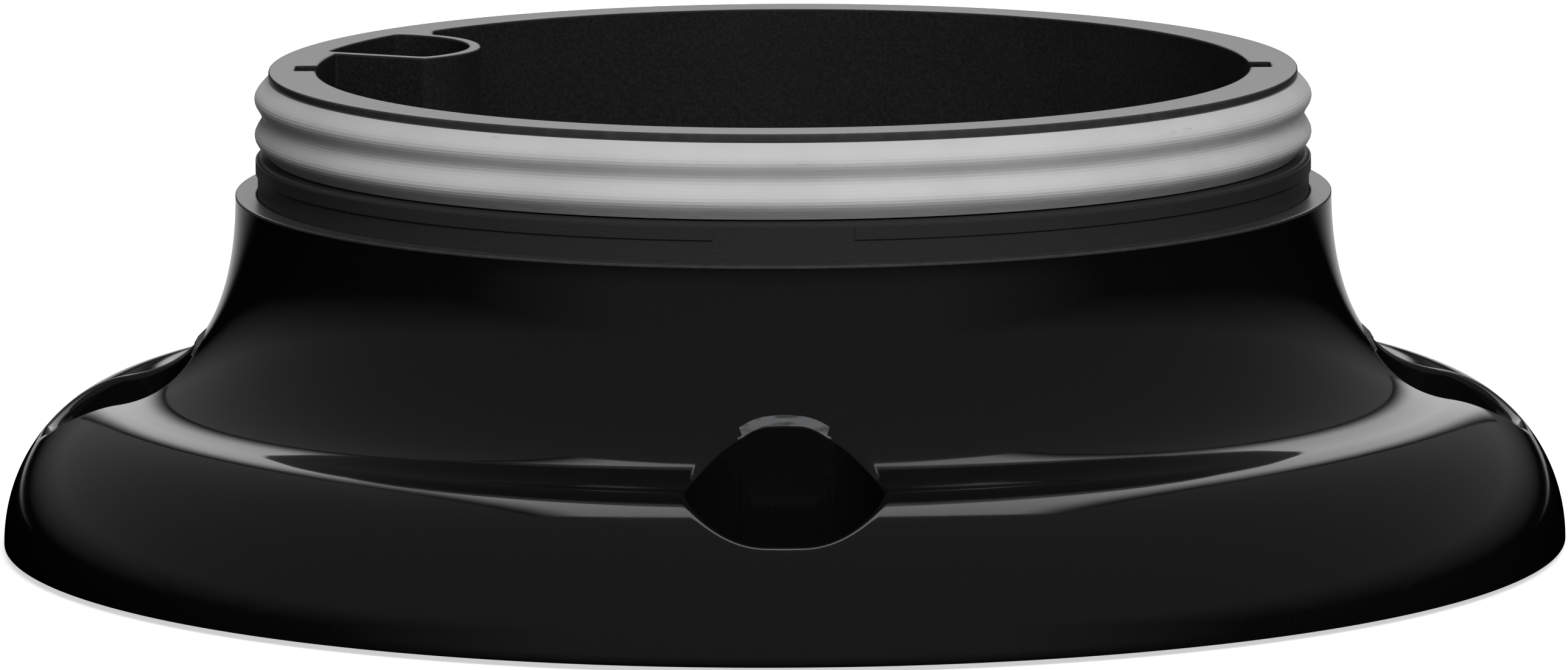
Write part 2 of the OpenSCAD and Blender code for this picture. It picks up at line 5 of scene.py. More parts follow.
import bmesh
import bpy
import numpy as np
from mathutils import Euler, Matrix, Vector


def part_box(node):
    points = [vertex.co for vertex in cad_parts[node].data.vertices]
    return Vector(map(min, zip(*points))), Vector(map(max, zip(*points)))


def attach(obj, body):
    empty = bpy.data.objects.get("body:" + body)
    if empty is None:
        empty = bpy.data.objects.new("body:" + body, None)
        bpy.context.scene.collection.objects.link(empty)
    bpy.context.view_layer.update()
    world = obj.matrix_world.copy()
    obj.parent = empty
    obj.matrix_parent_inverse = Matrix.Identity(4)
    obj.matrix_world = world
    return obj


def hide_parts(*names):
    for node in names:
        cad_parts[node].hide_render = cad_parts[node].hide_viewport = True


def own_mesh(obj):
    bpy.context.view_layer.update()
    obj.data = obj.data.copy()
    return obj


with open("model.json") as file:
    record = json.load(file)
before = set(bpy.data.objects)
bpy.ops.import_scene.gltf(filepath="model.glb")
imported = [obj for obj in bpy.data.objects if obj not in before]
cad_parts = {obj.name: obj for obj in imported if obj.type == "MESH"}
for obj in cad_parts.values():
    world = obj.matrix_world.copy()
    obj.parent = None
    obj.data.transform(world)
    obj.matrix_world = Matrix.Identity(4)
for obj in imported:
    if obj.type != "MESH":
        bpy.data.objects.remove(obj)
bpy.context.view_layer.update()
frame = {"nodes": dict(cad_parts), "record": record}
nodes = frame["nodes"]

MM = 0.001
TAU = 2 * math.pi

# --- sizes read from the frame, in millimetres ---------------------------------------------------


def box_mm(node):
    """Lowest and highest corners of a CAD node in millimetres."""
    low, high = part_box(node)
    return np.array(low) / MM, np.array(high) / MM


shroud_low, shroud_high = box_mm("flared_shroud")
collar_low, collar_high = box_mm("neck_collar")

flange_r = shroud_high[0]
stand_z = shroud_low[2]
ledge_z = shroud_high[2]
rim_z = collar_high[2]

# --- sizes of the moulded shapes, in millimetres --------------------------------------------------

LEDGE_R = 80.5
BAND_R = 77.2
BAND_H = 5.6
RIM_R = 75.5
THROAT_R = 68.5
GROOVE_R = 73.6
LIP_H = 1.3
SHELL_T = 2.2
WELL_PITCH_R = 97.5
WELL_R = 12.2
WELL_STRAIGHT = 2.1
WELL_FLOOR_Z = 6.8
CUP_FOOT_Z = 4.6
CHAMFER_HALF = 6.6
EDGE_RINGS = 12
STRIP_START = -82.5
STRIP_SPAN = 345
DUCT = {"x": -61.8, "y": 25.3, "r": 16.9, "wall": 1.75, "outer": 70.3, "floor": 42.0}
DUCT_SIDE = {"x": -55.7, "y": 12.3, "angle": math.radians(-25.3)}
DUCT_FAR_X = -52.4
KEY_W = 6.0
KEY_R = 71.6
CREST_SLOPE = math.radians(8.5)
SECTOR_STEPS = 96
RING_STEPS = 4 * SECTOR_STEPS

# --- mesh helpers ---------------------------------------------------------------------------------


def area_normals(verts, faces):
    """Vertex normals weighted by face area, so that flat faces stay flat beside small fillets."""
    normals = np.zeros_like(verts)
    for size in {len(face) for face in faces}:
        rows = np.array([face for face in faces if len(face) == size])
        corners = verts[rows]
        across = corners[:, size // 2] - corners[:, 0]
        along = corners[:, -1] - corners[:, 1]
        if size != 4:
            across, along = corners[:, 1] - corners[:, 0], corners[:, 2] - corners[:, 0]
        area = np.cross(across, along)
        for i in range(size):
            np.add.at(normals, rows[:, i], area)
    length = np.linalg.norm(normals, axis=1)
    length[length == 0] = 1
    return normals / length[:, None]


def merged(verts, faces, slots, gap_mm=0.002):
    """The same mesh and material slots, with coincident vertices joined and collapsed faces dropped."""
    keys = np.round(verts / gap_mm).astype(np.int64)
    _, first, index = np.unique(keys, axis=0, return_index=True, return_inverse=True)
    index = index.reshape(-1)
    kept_faces, kept_slots = [], []
    for face, slot in zip(faces, slots):
        ring = []
        for i in index[list(face)]:
            if not ring or ring[-1] != i:
                ring.append(int(i))
        if len(ring) > 1 and ring[0] == ring[-1]:
            ring.pop()
        if len(set(ring)) >= 3 and len(set(ring)) == len(ring):
            kept_faces.append(tuple(ring))
            kept_slots.append(slot)
    return verts[first], kept_faces, kept_slots


def make_piece(name, verts_mm, faces, materials, slots=None):
    """A smooth mesh object from millimetre vertices, with area-weighted normals, fixed to the housing."""
    mesh = bpy.data.meshes.new(name)
    mesh.from_pydata((verts_mm * MM).tolist(), [], faces)
    bm = bmesh.new()
    bm.from_mesh(mesh)
    bmesh.ops.recalc_face_normals(bm, faces=bm.faces)
    bm.to_mesh(mesh)
    bm.free()
    faces = [tuple(polygon.vertices) for polygon in mesh.polygons]
    for material in materials:
        mesh.materials.append(material)
    mesh.polygons.foreach_set("use_smooth", [True] * len(mesh.polygons))
    if slots is not None:
        mesh.polygons.foreach_set("material_index", slots)
    mesh.update()
    mesh.normals_split_custom_set_from_vertices(area_normals(verts_mm, faces).tolist())
    piece = bpy.data.objects.new(name, mesh)
    bpy.context.scene.collection.objects.link(piece)
    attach(piece, "housing")
    return piece


class Builder:
    """Collects rings of points and the faces between them."""

    def __init__(self):
        self.verts = []
        self.faces = []
        self.slots = []

    def add(self, points):
        start = len(self.verts)
        self.verts.extend(np.asarray(points, float).tolist())
        return list(range(start, start + len(points)))

    def bridge(self, lower, upper, slot=0, closed=True):
        """Quads between two rings of the same length."""
        count = len(lower)
        for i in range(count if closed else count - 1):
            j = (i + 1) % count
            self.faces.append((lower[i], lower[j], upper[j], upper[i]))
            self.slots.append(slot)

    def rings(self, loops, slot=0, closed=True):
        indices = [self.add(loop) for loop in loops]
        for lower, upper in zip(indices, indices[1:]):
            self.bridge(lower, upper, slot, closed)
        return indices

    def cap(self, ring, flip=False, slot=0):
        """Fans a ring to its middle."""
        middle = self.add([np.mean(np.array(self.verts)[ring], axis=0)])[0]
        for i, j in zip(ring, ring[1:] + ring[:1]):
            self.faces.append((i, middle, j) if flip else (i, j, middle))
            self.slots.append(slot)

    def fill(self, loops, up=True, slot=0):
        """Fills a flat region bounded by an outer ring and holes, given as lists of vertex numbers."""
        bm = bmesh.new()
        edges = []
        numbers = {}
        for loop in loops:
            made = [bm.verts.new(self.verts[i]) for i in loop]
            for vert, number in zip(made, loop):
                numbers[vert] = number
            for a, b in zip(made, made[1:] + made[:1]):
                edges.append(bm.edges.new((a, b)))
        filled = bmesh.ops.triangle_fill(bm, use_beauty=True, edges=edges, normal=(0, 0, 1))
        for face in [g for g in filled["geom"] if isinstance(g, bmesh.types.BMFace)]:
            ring = [numbers[v] for v in face.verts]
            points = [Vector(self.verts[i]) for i in ring]
            turned = (points[1] - points[0]).cross(points[2] - points[0]).z < 0
            if turned == up:
                ring.reverse()
            self.faces.append(tuple(ring))
            self.slots.append(slot)
        bm.free()


def circle_points(r, z, count=RING_STEPS, x=0.0, y=0.0):
    angles = np.arange(count) * TAU / count
    return np.stack([x + r * np.cos(angles), y + r * np.sin(angles), np.full(count, z)], 1)


def revolve(builder, profile, count=RING_STEPS, x=0.0, y=0.0, slot=0):
    """Turns a list of (radius, height) points round a vertical axis."""
    return builder.rings([circle_points(r, z, count, x, y) for r, z in profile], slot)


def rounded(points, radius, steps=5):
    """A polyline with each inner corner replaced by a small arc-like curve."""
    points = [np.array(p, float) for p in points]
    path = [points[0]]
    for before, corner, after in zip(points, points[1:], points[2:]):
        reach_in = min(radius, np.linalg.norm(before - corner) * 0.49)
        reach_out = min(radius, np.linalg.norm(after - corner) * 0.49)
        start = corner + (before - corner) / np.linalg.norm(before - corner) * reach_in
        end = corner + (after - corner) / np.linalg.norm(after - corner) * reach_out
        for i in range(steps + 1):
            t = i / steps
            path.append((1 - t) ** 2 * start + 2 * (1 - t) * t * corner + t * t * end)
    path.append(points[-1])
    return path


# --- materials ------------------------------------------------------------------------------------


class Paint:
    """A principled material with helpers that add grain, mottling and uneven gloss."""

    def __init__(self, name, colour, roughness, metallic=0.0, ior=1.47):
        self.material = bpy.data.materials.new(name)
        self.material.use_nodes = True
        self.tree = self.material.node_tree
        self.shader = self.tree.nodes["Principled BSDF"]
        self.shader.inputs["Base Color"].default_value = (*colour, 1)
        self.shader.inputs["Roughness"].default_value = roughness
        self.shader.inputs["Metallic"].default_value = metallic
        self.shader.inputs["IOR"].default_value = ior
        self.colour = colour
        self.roughness = roughness
        self.height = None
        self.place = self.node("ShaderNodeTexCoord").outputs["Object"]

    def node(self, kind, **settings):
        made = self.tree.nodes.new(kind)
        for key, value in settings.items():
            setattr(made, key, value)
        return made

    def link(self, source, target):
        self.tree.links.new(source, target)

    def noise(self, size_mm, detail=3.0, stretch=(1, 1, 1), place=None, distortion=0.0):
        """Noise whose features are about size_mm across."""
        mapping = self.node("ShaderNodeMapping")
        mapping.inputs["Scale"].default_value = [s / (size_mm * MM) for s in stretch]
        self.link(place or self.place, mapping.inputs["Vector"])
        noise = self.node("ShaderNodeTexNoise")
        noise.inputs["Scale"].default_value = 1.0
        noise.inputs["Detail"].default_value = detail
        noise.inputs["Distortion"].default_value = distortion
        self.link(mapping.outputs["Vector"], noise.inputs["Vector"])
        return noise.outputs["Fac"]

    def spread(self, value, low, high, to_low, to_high):
        """Maps a value's range low to high onto to_low to to_high, clamped."""
        remap = self.node("ShaderNodeMapRange")
        for key, number in zip(("From Min", "From Max", "To Min", "To Max"), (low, high, to_low, to_high)):
            remap.inputs[key].default_value = number
        self.link(value, remap.inputs["Value"])
        return remap.outputs["Result"]

    def mottle(self, size_mm, other, amount=0.5, low=0.4, high=0.7, stretch=(1, 1, 1), source=None):
        """Blends patches of another colour into the base colour."""
        value = source or self.noise(size_mm, stretch=stretch)
        mix = self.node("ShaderNodeMix", data_type="RGBA")
        sockets = {socket.identifier: socket for socket in [*mix.inputs, *mix.outputs]}
        base = self.shader.inputs["Base Color"]
        if base.is_linked:
            self.link(base.links[0].from_socket, sockets["A_Color"])
        else:
            sockets["A_Color"].default_value = (*self.colour, 1)
        sockets["B_Color"].default_value = (*other, 1)
        self.link(self.spread(value, low, high, 0.0, amount), sockets["Factor_Float"])
        self.link(sockets["Result_Color"], base)
        return self

    def uneven_gloss(self, size_mm, change, stretch=(1, 1, 1), low=0.35, high=0.65):
        """Varies the roughness up and down by change."""
        base = self.roughness
        value = self.noise(size_mm, stretch=stretch)
        value = self.spread(value, low, high, base - change, base + change)
        self.link(value, self.shader.inputs["Roughness"])
        return self

    def grain(self, size_mm, depth_mm, detail=3.0, stretch=(1, 1, 1), place=None, low=0.0, high=1.0):
        """Adds relief depth_mm deep with features size_mm across."""
        bump = self.node("ShaderNodeBump")
        bump.inputs["Distance"].default_value = depth_mm * MM
        value = self.noise(size_mm, detail, stretch, place)
        if (low, high) != (0.0, 1.0):
            value = self.spread(value, low, high, 0.0, 1.0)
        self.link(value, bump.inputs["Height"])
        if self.height:
            self.link(self.height, bump.inputs["Normal"])
        self.height = bump.outputs["Normal"]
        self.link(self.height, self.shader.inputs["Normal"])
        return self

    def polar(self):
        """Coordinates of radius and height that change slowly round the axis, for turned surfaces."""
        split = self.node("ShaderNodeSeparateXYZ")
        self.link(self.place, split.inputs["Vector"])
        flat = self.node("ShaderNodeCombineXYZ")
        self.link(split.outputs["X"], flat.inputs["X"])
        self.link(split.outputs["Y"], flat.inputs["Y"])
        length = self.node("ShaderNodeVectorMath", operation="LENGTH")
        self.link(flat.outputs["Vector"], length.inputs[0])
        unit = self.node("ShaderNodeVectorMath", operation="NORMALIZE")
        self.link(flat.outputs["Vector"], unit.inputs[0])
        parts = self.node("ShaderNodeSeparateXYZ")
        self.link(unit.outputs["Vector"], parts.inputs["Vector"])
        slow = self.node("ShaderNodeMath", operation="MULTIPLY")
        slow.inputs[1].default_value = MM * 0.4
        self.link(parts.outputs["X"], slow.inputs[0])
        out = self.node("ShaderNodeCombineXYZ")
        self.link(length.outputs["Value"], out.inputs["X"])
        self.link(split.outputs["Z"], out.inputs["Y"])
        self.link(slow.outputs["Value"], out.inputs["Z"])
        return out.outputs["Vector"]


def gloss_black():
    paint = Paint("shroud_gloss_black", (0.0035, 0.0035, 0.0036), 0.075, ior=1.49)
    paint.uneven_gloss(26, 0.02)
    paint.mottle(0.5, (0.008, 0.008, 0.008), amount=0.6, low=0.62, high=0.75)
    paint.grain(9, 0.012, detail=1.0)
    paint.grain(0.35, 0.0006, detail=2.0)
    return paint.material


def matte_black(name, roughness, grain_mm, depth_mm, colour=(0.014, 0.014, 0.0145)):
    paint = Paint(name, colour, roughness, ior=1.5)
    paint.uneven_gloss(12, 0.06)
    paint.mottle(0.45, (0.026, 0.026, 0.027), amount=0.45)
    paint.grain(grain_mm, depth_mm, detail=4.0)
    return paint.material


def machined_black(name):
    """Matt black with the fine concentric lines of a turned mould face."""
    paint = Paint(name, (0.035, 0.035, 0.036), 0.30, ior=1.55)
    paint.mottle(2.0, (0.055, 0.055, 0.056), amount=0.6)
    rings = paint.polar()
    paint.grain(0.22, 0.006, detail=3.0, place=rings)
    paint.grain(0.6, 0.004)
    return paint.material


def painted_glint_black(name):
    """The well's chamfer, painted pale and streaky as a painted highlight: the glint of light along that
    edge.
    """
    paint = Paint(name, (0.115, 0.117, 0.12), 0.42)
    paint.mottle(1.2, (0.035, 0.0355, 0.036), amount=0.9, low=0.45, high=0.62, stretch=(0.3, 0.3, 2))
    paint.uneven_gloss(2.5, 0.12)
    paint.grain(0.4, 0.008)
    return paint.material


def silicone():
    paint = Paint("seal_silicone", (0.60, 0.60, 0.60), 0.48, ior=1.41)
    paint.shader.inputs["Subsurface Weight"].default_value = 0.12
    paint.shader.inputs["Subsurface Radius"].default_value = (0.0012, 0.0012, 0.0012)
    paint.shader.inputs["Sheen Weight"].default_value = 0.15
    paint.mottle(14, (0.53, 0.53, 0.53), amount=0.7)
    paint.mottle(2.6, (0.34, 0.34, 0.34), amount=0.55, low=0.70, high=0.80, stretch=(0.35, 0.35, 1.6))
    paint.mottle(0.8, (0.30, 0.30, 0.30), amount=0.5, low=0.74, high=0.82)
    paint.uneven_gloss(5, 0.08)
    paint.grain(1.6, 0.05, detail=2.0, stretch=(0.5, 0.5, 1.0))
    paint.grain(0.3, 0.006)
    return paint.material


def brushed(name, colour, roughness, line_mm=0.16, round_axis=True):
    paint = Paint(name, colour, roughness, metallic=1.0)
    paint.mottle(18, tuple(c * 0.88 for c in colour), amount=0.3)
    paint.mottle(1.8, tuple(c * 0.6 for c in colour), amount=0.25, low=0.6, high=0.8)
    paint.uneven_gloss(16, 0.03)
    if round_axis:
        paint.grain(line_mm, 0.006, place=paint.polar())
    else:
        paint.grain(line_mm, 0.006, stretch=(0.04, 1, 1))
    return paint.material


def cast(name, colour, roughness=0.5):
    paint = Paint(name, colour, roughness, metallic=0.9)
    paint.mottle(3.0, tuple(c * 0.55 for c in colour), amount=0.7)
    paint.uneven_gloss(2.2, 0.12)
    paint.grain(0.9, 0.05, detail=5.0)
    return paint.material


def ground(name, colour, roughness=0.18):
    paint = Paint(name, colour, roughness, metallic=1.0)
    paint.mottle(6, tuple(c * 0.8 for c in colour), amount=0.4)
    paint.uneven_gloss(3, 0.05)
    paint.grain(0.12, 0.002)
    return paint.material


def plastic(name, colour, roughness=0.4, grain_mm=0.6, depth_mm=0.01):
    paint = Paint(name, colour, roughness, ior=1.5)
    paint.mottle(7, tuple(min(1.0, c * 1.35 + 0.004) for c in colour), amount=0.5)
    paint.uneven_gloss(5, min(0.08, roughness * 0.4))
    paint.grain(grain_mm, depth_mm)
    return paint.material


def soft_rubber(name, colour, roughness=0.75):
    paint = Paint(name, colour, roughness, ior=1.45)
    paint.shader.inputs["Sheen Weight"].default_value = 0.2
    paint.mottle(4, tuple(c * 1.8 + 0.005 for c in colour), amount=0.6)
    paint.uneven_gloss(3, 0.08)
    paint.grain(0.4, 0.02)
    return paint.material


def copper_wire():
    paint = Paint("winding_copper", (0.48, 0.17, 0.055), 0.32, metallic=0.85)
    paint.mottle(3, (0.26, 0.075, 0.02), amount=0.7)
    paint.grain(0.7, 0.12, stretch=(0.05, 0.05, 1))
    return paint.material


def laminations():
    paint = Paint("stator_laminations", (0.30, 0.31, 0.33), 0.42, metallic=1.0)
    paint.mottle(0.6, (0.10, 0.09, 0.085), amount=0.7, stretch=(0.02, 0.02, 1))
    paint.grain(0.5, 0.05, stretch=(0.02, 0.02, 1))
    return paint.material


def circuit_board():
    paint = Paint("board_laminate", (0.012, 0.10, 0.035), 0.3, ior=1.55)
    paint.mottle(1.6, (0.02, 0.20, 0.075), amount=0.9, low=0.5, high=0.53)
    paint.mottle(9, (0.008, 0.06, 0.02), amount=0.6)
    paint.grain(1.6, 0.03)
    return paint.material


# One finish for each material slot of the record
finishes = {
    "shroud_black": gloss_black(),
    "collar_black": matte_black("collar_spark_eroded", 0.50, 0.55, 0.07, (0.024, 0.024, 0.0245)),
    "seal_grey": silicone(),
    "steel_sheet": brushed("sheet_stainless", (0.58, 0.585, 0.59), 0.30),
    "ring_cast": cast("ring_cast_iron", (0.30, 0.305, 0.31)),
    "deck_alloy": cast("deck_die_cast", (0.55, 0.555, 0.56), 0.45),
    "gasket_rubber": soft_rubber("gasket_rubber", (0.022, 0.022, 0.022)),
    "seal_brown": soft_rubber("seal_fluoro_rubber", (0.10, 0.03, 0.018), 0.6),
    "bearing_steel": ground("bearing_steel", (0.62, 0.63, 0.65), 0.12),
    "cage_brass": ground("cage_brass", (0.55, 0.36, 0.12), 0.3),
    "lamination_steel": laminations(),
    "copper_wire": copper_wire(),
    "plate_black": plastic("plate_nylon", (0.018, 0.018, 0.02), 0.5, 0.7, 0.05),
    "foot_rubber": soft_rubber("foot_rubber", (0.014, 0.014, 0.014)),
    "screw_zinc": brushed("screw_zinc", (0.52, 0.53, 0.55), 0.28, 0.3, round_axis=False),
    "switch_blue": plastic("switch_thermoset", (0.022, 0.04, 0.12), 0.45),
    "button_red": plastic("button_red", (0.50, 0.02, 0.012), 0.25, 1.0, 0.004),
    "rod_acetal": plastic("rod_acetal", (0.66, 0.63, 0.54), 0.35, 1.2, 0.006),
    "spring_steel": ground("spring_wire", (0.55, 0.56, 0.58), 0.22),
    "breaker_grey": plastic("breaker_thermoset", (0.045, 0.05, 0.055), 0.5),
    "board_green": circuit_board(),
    "capacitor_blue": plastic("capacitor_sleeve", (0.02, 0.035, 0.13), 0.22, 3.0, 0.01),
    "chip_black": plastic("chip_epoxy", (0.018, 0.018, 0.018), 0.55),
    "sink_alloy": brushed("sink_aluminium", (0.62, 0.63, 0.64), 0.35, 0.25, round_axis=False),
    "terminal_cream": plastic("terminal_polyamide", (0.60, 0.56, 0.46), 0.45),
    "gland_black": plastic("gland_nylon", (0.014, 0.014, 0.014), 0.42),
    "lead_brown": plastic("lead_brown", (0.16, 0.03, 0.02), 0.3),
    "lead_yellow": plastic("lead_yellow", (0.60, 0.43, 0.04), 0.3),
    "lead_blue": plastic("lead_blue", (0.03, 0.11, 0.38), 0.3),
    "shaft_steel": ground("shaft_steel", (0.60, 0.61, 0.63), 0.15),
    "cup_steel": brushed("cup_drawn_steel", (0.42, 0.43, 0.45), 0.33),
    "magnet_grey": cast("magnet_ferrite", (0.09, 0.09, 0.095), 0.6),
    "lug_steel": cast("lug_cast_stainless", (0.46, 0.47, 0.48), 0.36),
}
rim_face = machined_black("rim_turned_face")
bore_face = matte_black("bore_moulded", 0.34, 0.5, 0.012, (0.008, 0.008, 0.0083))
# pale streaky material for the well's chamfer: a painted highlight standing in for the glint along that edge
painted_glint_edge = painted_glint_black("painted_glint_edge")

for entry in frame["record"]["subparts"]:
    mesh = nodes[entry["node"]].data
    mesh.materials.clear()
    mesh.materials.append(finishes[entry["material_slot"]])


# --- flared shroud --------------------------------------------------------------------------------


def bezier(points, t):
    t = np.asarray(t, float)[..., None]
    a, b, c, d = (np.array(p, float) for p in points)
    return (1 - t) ** 3 * a + 3 * (1 - t) ** 2 * t * b + 3 * (1 - t) * t * t * c + t**3 * d


crest = [flange_r - 16.6, stand_z + 22]
waist_curve = [[LEDGE_R, ledge_z], [LEDGE_R, ledge_z - 15.2], [flange_r - 29.6, stand_z + 23.9],
               crest]
flare_curve = [crest, [flange_r - 8, stand_z + 22 - 8.6 * math.sin(CREST_SLOPE)],
               [flange_r, stand_z + 11.9], [flange_r, stand_z]]
steps = np.linspace(0, 1, 400)
outline = np.vstack([bezier(waist_curve, steps), bezier(flare_curve, steps)[1:]])
run = np.concatenate([[0], np.cumsum(np.linalg.norm(np.diff(outline, axis=0), axis=1))])


class Skin:
    """A turned surface depth millimetres inside the shroud's outline, by the distance along that outline."""

    def __init__(self, depth):
        along = np.gradient(outline, axis=0)
        along /= np.linalg.norm(along, axis=1)[:, None]
        self.radius, self.height = (outline + depth * np.stack([along[:, 1], -along[:, 0]], 1)).T

    def at(self, distance):
        return np.interp(distance, run, self.radius), np.interp(distance, run, self.height)

    def distance_at(self, radius):
        return np.interp(radius, self.radius, run)

    def height_at(self, xy):
        return self.at(self.distance_at(np.hypot(xy[:, 0], xy[:, 1])))[1]

    def points(self, angle, distance):
        radius, height = self.at(distance)
        return np.stack([radius * np.cos(angle), radius * np.sin(angle), height], -1)


def sector_rim(first, last):
    """Points round the edge of one quarter of the shroud, as (angle, distance along the outline)."""
    half = math.pi / 4
    across = np.linspace(-half, half, SECTOR_STEPS + 1)[:-1]
    along = np.linspace(first, last, 65)[:-1]
    low = [(a, last) for a in across]
    right = [(half, s) for s in along[::-1] + (along[1] - along[0])]
    high = [(a, first) for a in across[::-1] + (across[1] - across[0])]
    left = [(-half, s) for s in along]
    return np.array(low + right + high + left)


outer_skin = Skin(0)
inner_skin = Skin(SHELL_T)


def chamfer_share(out, lateral):
    """1 on the chamfer over the middle of the wall nearest the neck, 0 on the rest of the edge."""
    side = np.clip((CHAMFER_HALF + 0.25 - np.abs(lateral)) / 0.5, 0, 1)
    return side * side * (3 - 2 * side) * (out < 0)


def lip_share(out):
    """1 at the broad soft lip farthest from the neck, falling to 0 at the well's two ends."""
    return np.clip(out, 0, 1) ** 1.5


def edge_reach(out, lateral):
    """Distance from the well's spine at which the flange begins to turn in."""
    return WELL_R + 0.6 - 0.4 * chamfer_share(out, lateral) - 0.1 * lip_share(out)


def wall_reach(out, lateral):
    """Distance from the well's spine to its wall."""
    return WELL_R - 0.5 - 0.6 * chamfer_share(out, lateral) - 2.7 * lip_share(out)


def well_edge(skin, rim, middle, spread, reach_of):
    """Where the lines from the well's middle to the rim points cross the well's edge."""
    turn = np.linspace(0, TAU, 4001)[:-1]
    side = np.where(np.sin(turn) >= 0, WELL_STRAIGHT, -WELL_STRAIGHT)
    reach = reach_of(np.cos(turn), side + WELL_R * np.sin(turn))
    x = WELL_PITCH_R + reach * np.cos(turn)
    y = side + reach * np.sin(turn)
    flat = np.stack([np.arctan2(y, x) * spread, skin.distance_at(np.hypot(x, y)) - middle], 1)
    angle = np.arctan2(flat[:, 1], flat[:, 0])
    order = np.argsort(angle)
    angle, reach = angle[order], np.linalg.norm(flat, axis=1)[order]
    angle = np.concatenate([angle - TAU, angle, angle + TAU])
    reach = np.concatenate([reach, reach, reach])
    away = np.stack([rim[:, 0] * spread, rim[:, 1] - middle], 1)
    wanted = np.arctan2(away[:, 1], away[:, 0])
    near = np.interp(wanted, angle, reach)
    return np.stack([near * np.cos(wanted) / spread, near * np.sin(wanted) + middle], 1)


def well_frame(edge_points):
    """The well's spine point and the outward direction of each point of its edge."""
    spine = np.zeros((len(edge_points), 2))
    spine[:, 0] = WELL_PITCH_R
    spine[:, 1] = np.clip(edge_points[:, 1], -WELL_STRAIGHT, WELL_STRAIGHT)
    away = edge_points[:, :2] - spine
    return spine, away / np.linalg.norm(away, axis=1)[:, None]


def well_rings(edge_points):
    """The soft edge, wall and floor of one well, from the ring where the flange begins to turn in."""
    spine, away = well_frame(edge_points)
    lateral = spine[:, 1] + away[:, 1] * WELL_R
    chamfer = chamfer_share(away[:, 0], lateral)
    lip = lip_share(away[:, 0])
    begin = edge_reach(away[:, 0], lateral)
    wall = wall_reach(away[:, 0], lateral)

    def ring(reach, height):
        return np.column_stack([spine + away * reach[:, None], height])

    top = outer_skin.height_at(spine + away * begin[:, None])
    rise = (top - outer_skin.height_at(spine + away * (begin + 0.1)[:, None])) / 0.1
    turning = wall + 0.2 + 1.3 * lip + 0.45 * chamfer
    turning_z = top + rise * (begin - turning)
    turning_z += chamfer * (top - 0.55 - turning_z)
    corner = ring(turning, turning_z)
    below = ring(wall, turning_z - 0.7 - 2.8 * lip)
    loops = []
    for i in range(1, EDGE_RINGS + 1):
        t = i / EDGE_RINGS
        loops.append((1 - t) ** 2 * edge_points + 2 * (1 - t) * t * corner + t * t * below)
    turn = 2.5
    drops = (below[:, 2] - WELL_FLOOR_Z - turn)[:, None]
    for share in (0.012, 0.03, *np.linspace(0.08, 1, 11)):
        loops.append(below - drops * [[0, 0, share]])
    for angle in np.linspace(0, math.pi / 2, 7)[1:]:
        inward = turn * (1 - math.cos(angle))
        height = WELL_FLOOR_Z + turn * (1 - math.sin(angle))
        loops.append(ring(wall - inward, np.full(len(wall), height)))
    for reach in (6.2, 4.0, 1.8):
        xy = spine * [1, reach / WELL_R] + away * reach
        loops.append(np.column_stack([xy, np.full(len(xy), WELL_FLOOR_Z)]))
    return loops


def cup_reach(out, lateral):
    """Distance from the well's spine to the outside of its cup, the same all round."""
    return np.full(np.shape(out), WELL_R + 1.8)


def cup_rings(edge_points):
    """The outside of one well's cup, from the shell's inner skin down to the base plate."""
    return [np.column_stack([edge_points[:, :2], edge_points[:, 2] * (1 - share) + CUP_FOOT_Z * share])
            for share in np.linspace(0, 1, 9)[1:]]


def build_quarter(skin, first, last, reach_of, rings_of, flange_rings):
    """A quarter of a skin, with its well: the mesh, and the faces round the well's soft edge."""
    rim = sector_rim(first, last)
    middle = skin.distance_at(WELL_PITCH_R)
    start = well_edge(skin, rim, middle, 100.0, reach_of)
    shares = np.linspace(0, 1, flange_rings)
    shares = shares - 0.8 * np.sin(TAU * shares) / TAU
    flange = [skin.points(*(rim * share + start * (1 - share)).T) for share in shares[::-1]]
    quarter = Builder()
    rings = quarter.rings([*flange, *rings_of(flange[-1])])
    quarter.cap(rings[-1])
    edge_from = (len(flange) - 1) * len(rim)
    return quarter, range(edge_from, edge_from + EDGE_RINGS * len(rim))


def add_four(whole, quarter):
    """Adds a quarter four times round the axis."""
    verts = np.array(quarter.verts)
    for turn in range(4):
        angle = turn * math.pi / 2
        cos, sin = math.cos(angle), math.sin(angle)
        spin = np.array([[cos, sin, 0], [-sin, cos, 0], [0, 0, 1]])
        offset = len(whole.verts)
        whole.add(verts @ spin)
        whole.faces += [tuple(i + offset for i in face) for face in quarter.faces]
        whole.slots += quarter.slots


